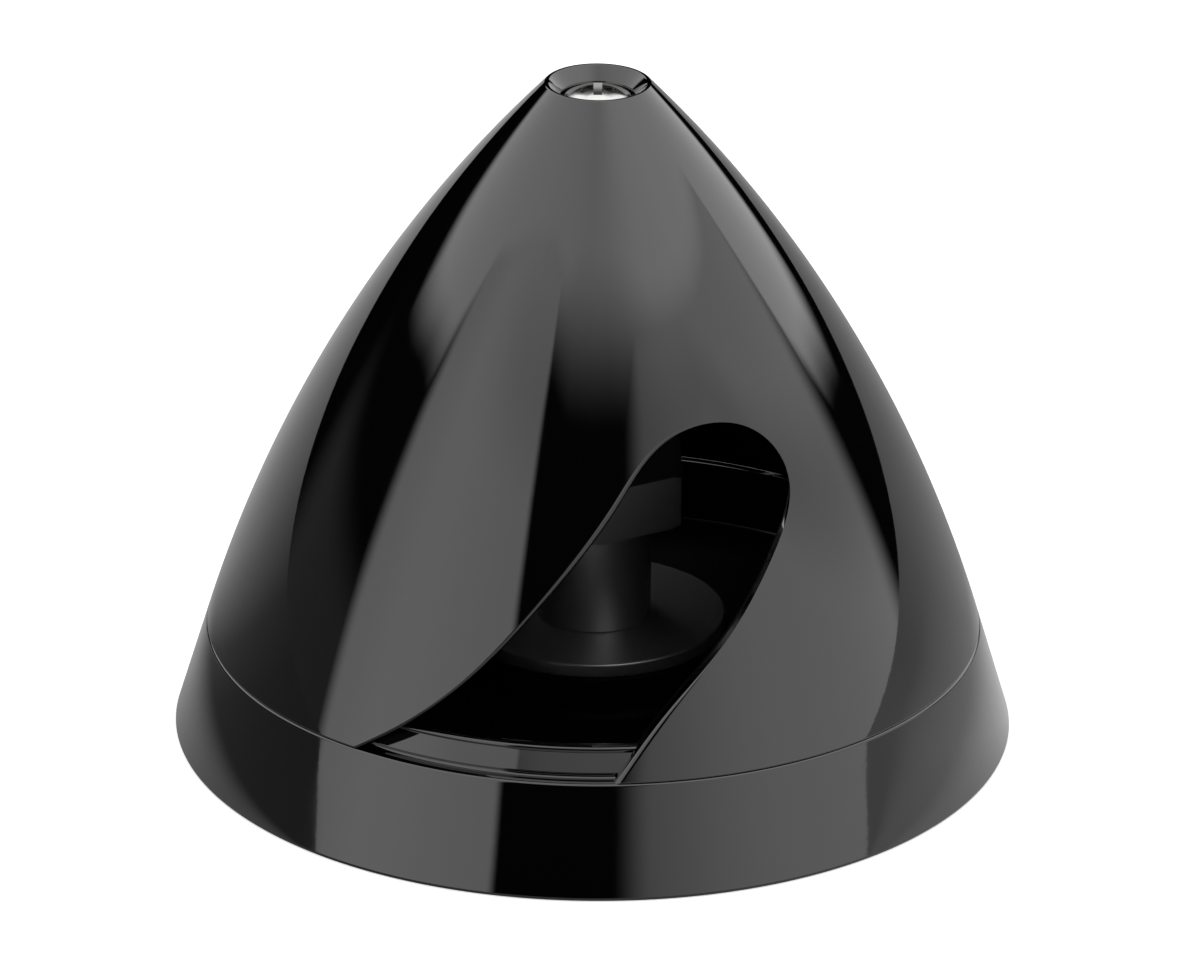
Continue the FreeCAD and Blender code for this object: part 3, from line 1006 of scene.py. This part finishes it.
        edge = follow(tree, azimuth, CEILING_EDGE, 90)
        soft = follow(tree, azimuth, CEILING_SOFTNESS, 20)
        lowest, highest = calculate(tree, "SUBTRACT", edge, soft), calculate(tree, "ADD", edge, soft)
        above_edge = fade_in(tree, elevation, lowest, highest)
        ceiling = product(tree, above_edge, follow(tree, azimuth, CEILING_LIGHT, 2))

        left_dip = product(tree, hump(tree, elevation, 39, 11), fade_in(tree, azimuth, -70, -40), 0.16)
        left = product(tree, fade_in(tree, azimuth, -86, -80), fade_out(tree, azimuth, -27.5, -24.5),
                       follow(tree, azimuth, LEFT_WALL_LIGHT, 2), all_but(tree, left_dip))

        near_edge = calculate(tree, "MULTIPLY_ADD", elevation, 0.26, 9.0)
        joint = hump(tree, elevation, follow(tree, azimuth, RIGHT_JOINT, 90), 9)
        right = product(tree, fade_in(tree, calculate(tree, "SUBTRACT", azimuth, near_edge), -5.5, 6),
                        fade_out(tree, azimuth, 105, 115), follow(tree, azimuth, RIGHT_WALL_LIGHT, 2),
                        all_but(tree, product(tree, joint, 0.24)))

        dim_left = product(tree, fade_out(tree, elevation, 6, 13), fade_in(tree, azimuth, -128, -112),
                           fade_out(tree, azimuth, -84, -80), 0.085)
        room = calculate(tree, "MAXIMUM", calculate(tree, "MAXIMUM", ceiling, left),
                         calculate(tree, "MAXIMUM", right, dim_left))
        rays = tree.nodes.new("ShaderNodeLightPath")
        seen = rays.outputs["Is Camera Ray"]
        unseen = product(tree, room, all_but(tree, seen))
        background = tree.nodes["Background"]
        background.inputs["Color"].default_value = (1, 1, 1, 1)
        tree.links.new(calculate(tree, "ADD", unseen, seen), background.inputs["Strength"])


class SPINNER_PT_panel(Panel):
    """Buttons for each piece of the spinner and its studio"""
    bl_label = "Propeller Spinner"
    bl_idname = "SPINNER_PT_panel"
    bl_space_type = "VIEW_3D"
    bl_region_type = "UI"
    bl_category = "Spinner"

    def draw(self, context):
        for maker in MAKERS:
            self.layout.operator(maker.bl_idname)
        for group in GROUPS:
            settings = getattr(context.scene, group)
            column = self.layout.column(align=True)
            for name in settings.__annotations__:
                column.prop(settings, name)


MAKERS = (
    SPINNER_OT_backplate,
    SPINNER_OT_hub_fittings,
    SPINNER_OT_adapter_nut,
    SPINNER_OT_nose_screw,
    SPINNER_OT_cone,
    SPINNER_OT_studio,
)
GROUPS = {
    "spinner_mouldings": SpinnerMouldings,
    "spinner_hardware": SpinnerHardware,
    "spinner_finishes": SpinnerFinishes,
    "spinner_studio": SpinnerStudio,
}


def register():
    for name, group in GROUPS.items():
        bpy.utils.register_class(group)
        setattr(bpy.types.Scene, name, PointerProperty(type=group))
    for maker in (*MAKERS, SPINNER_PT_panel):
        bpy.utils.register_class(maker)


def unregister():
    for maker in (SPINNER_PT_panel, *reversed(MAKERS)):
        bpy.utils.unregister_class(maker)
    for name, group in GROUPS.items():
        delattr(bpy.types.Scene, name)
        bpy.utils.unregister_class(group)


def main():
    register()
    bpy.ops.spinner.backplate()
    bpy.ops.spinner.hub_fittings()
    bpy.ops.spinner.adapter_nut()
    bpy.ops.spinner.nose_screw()
    bpy.ops.spinner.cone()
    bpy.ops.spinner.studio()


if __name__ == "__main__":
    main()
